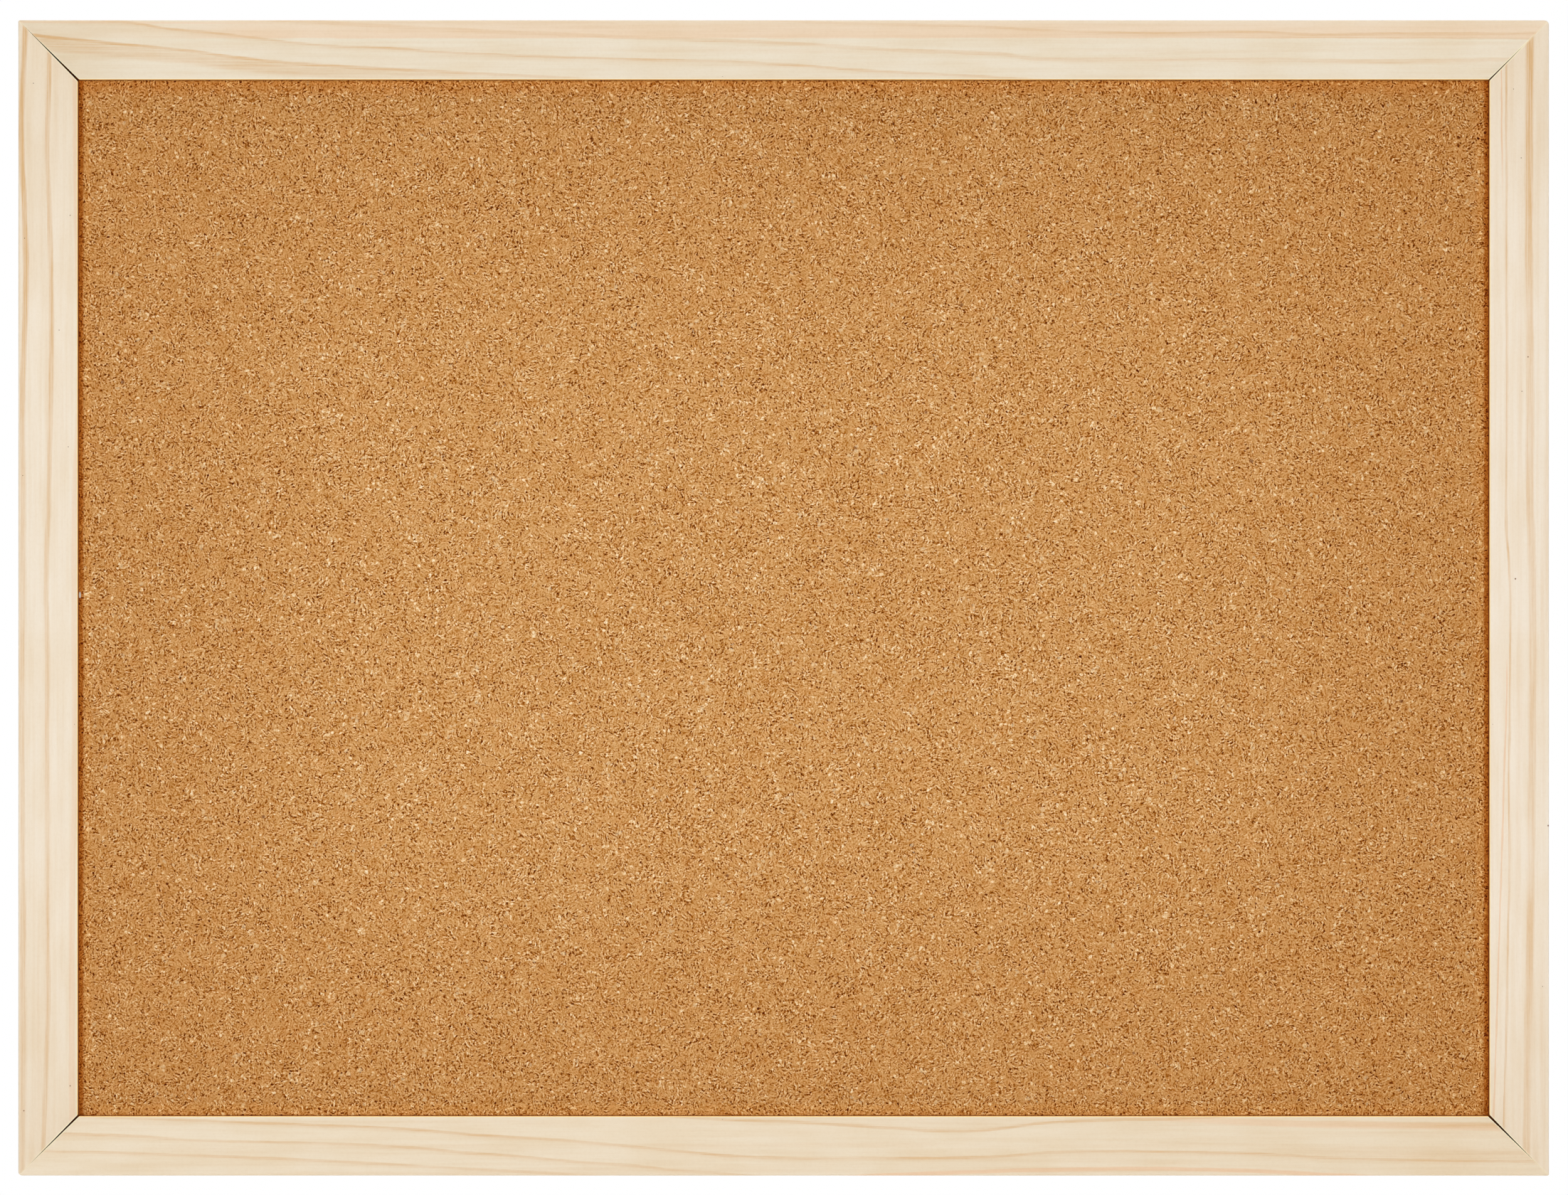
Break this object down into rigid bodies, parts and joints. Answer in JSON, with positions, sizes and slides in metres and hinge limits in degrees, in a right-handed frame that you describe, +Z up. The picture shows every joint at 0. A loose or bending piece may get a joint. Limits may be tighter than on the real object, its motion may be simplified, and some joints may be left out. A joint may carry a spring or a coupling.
{
  "type": "cork board",
  "caption": "Landscape cork board: a pine frame with mitred, grooved rails round a cork-faced softboard panel, with ring hangers behind.",
  "frame": {"origin": "middle of the top rail's back face, on the plane of the wall", "axes": "+X to the right as the board is seen from the front, +Y into the wall, out of the board's back, +Z up as it hangs"},
  "size_m": [0.4, 0.0162, 0.302],
  "materials": {
    "pine": "matte",
    "cork": "matte",
    "softboard": "matte",
    "backing_card": "matte",
    "nail_steel": "satin",
    "plated_steel": "satin",
    "screw_steel": "satin"
  },
  "bodies": {
    "board": {"rail_top": "pine", "rail_right": "pine", "rail_bottom": "pine", "rail_left": "pine", "cork_sheet": "cork", "softboard_core": "softboard", "backing_sheet": "backing_card", "v_nail_top_left_outer": "nail_steel", "v_nail_top_left_inner": "nail_steel", "v_nail_top_right_outer": "nail_steel", "v_nail_top_right_inner": "nail_steel", "v_nail_bottom_right_outer": "nail_steel", "v_nail_bottom_right_inner": "nail_steel", "v_nail_bottom_left_outer": "nail_steel", "v_nail_bottom_left_inner": "nail_steel", "hanger_strap_left": "plated_steel", "hanger_screw_left": "screw_steel", "hanger_strap_right": "plated_steel", "hanger_screw_right": "screw_steel"},
    "left_ring": {"hanger_ring_left": "plated_steel"},
    "right_ring": {"hanger_ring_right": "plated_steel"}
  },
  "joints": [
    {"name": "left_ring_swing", "type": "hinge", "parent": "board", "child": "left_ring", "pos_m": [-0.193, 0.002, -0.0522], "axis": [1, 0, 0], "range_deg": [0, 176]},
    {"name": "right_ring_swing", "type": "hinge", "parent": "board", "child": "right_ring", "pos_m": [0.193, 0.002, -0.0522], "axis": [1, 0, 0], "range_deg": [0, 176]}
  ]
}
